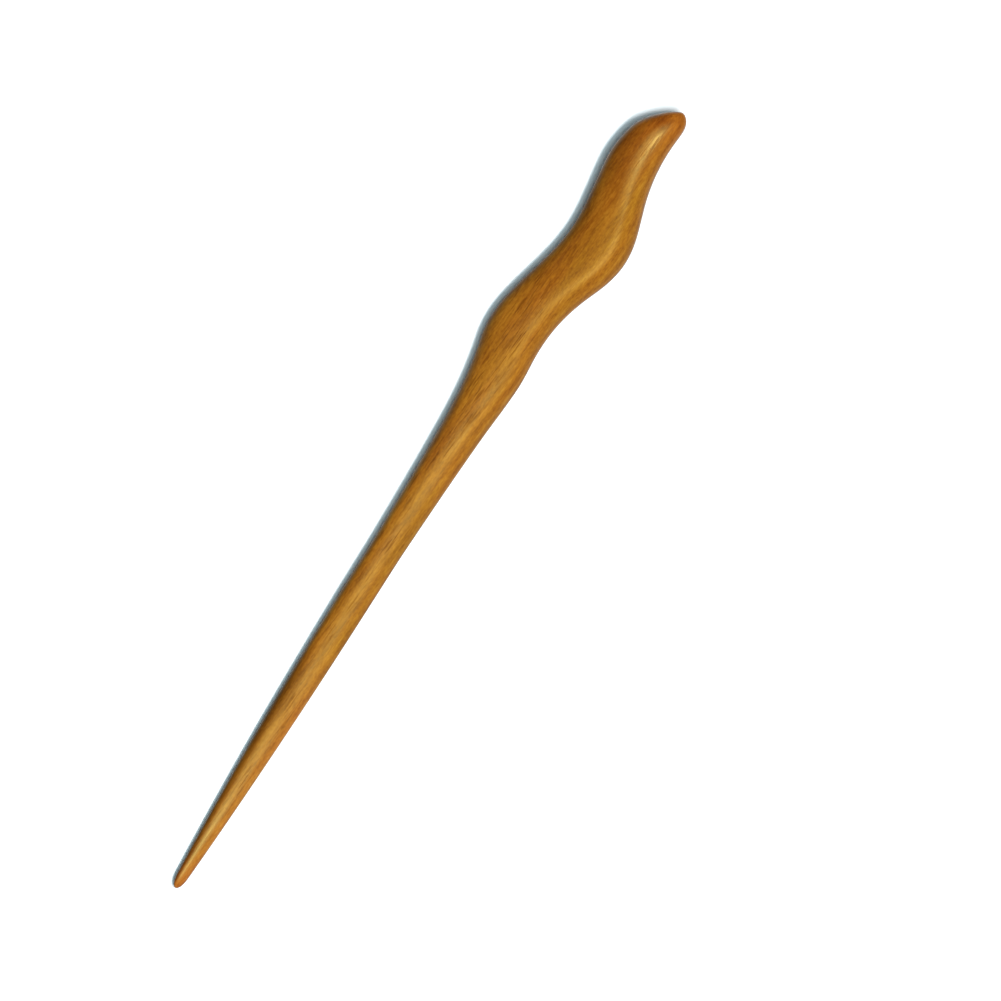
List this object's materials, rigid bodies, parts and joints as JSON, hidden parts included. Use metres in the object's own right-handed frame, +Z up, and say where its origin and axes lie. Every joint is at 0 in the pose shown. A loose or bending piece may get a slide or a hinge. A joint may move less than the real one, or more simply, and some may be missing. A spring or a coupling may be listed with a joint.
{
  "type": "carved wooden hair stick",
  "caption": "Slender wooden hair stick with a tapered, pointed shaft and a smooth carved head that curves like a shallow S.",
  "frame": {"origin": "on the surface that the stick lies on, under the centre of its bounding box", "axes": "+X along the stick from its point to the nose of its head, +Z up from the surface, as the stick lies by itself"},
  "size_m": [0.18, 0.0166, 0.0074],
  "materials": {
    "wood": "hand-sanded golden-brown hardwood with a satin wax polish and straight fine grain along the stick"
  },
  "bodies": {
    "root": {"stick": "wood"}
  },
  "joints": []
}
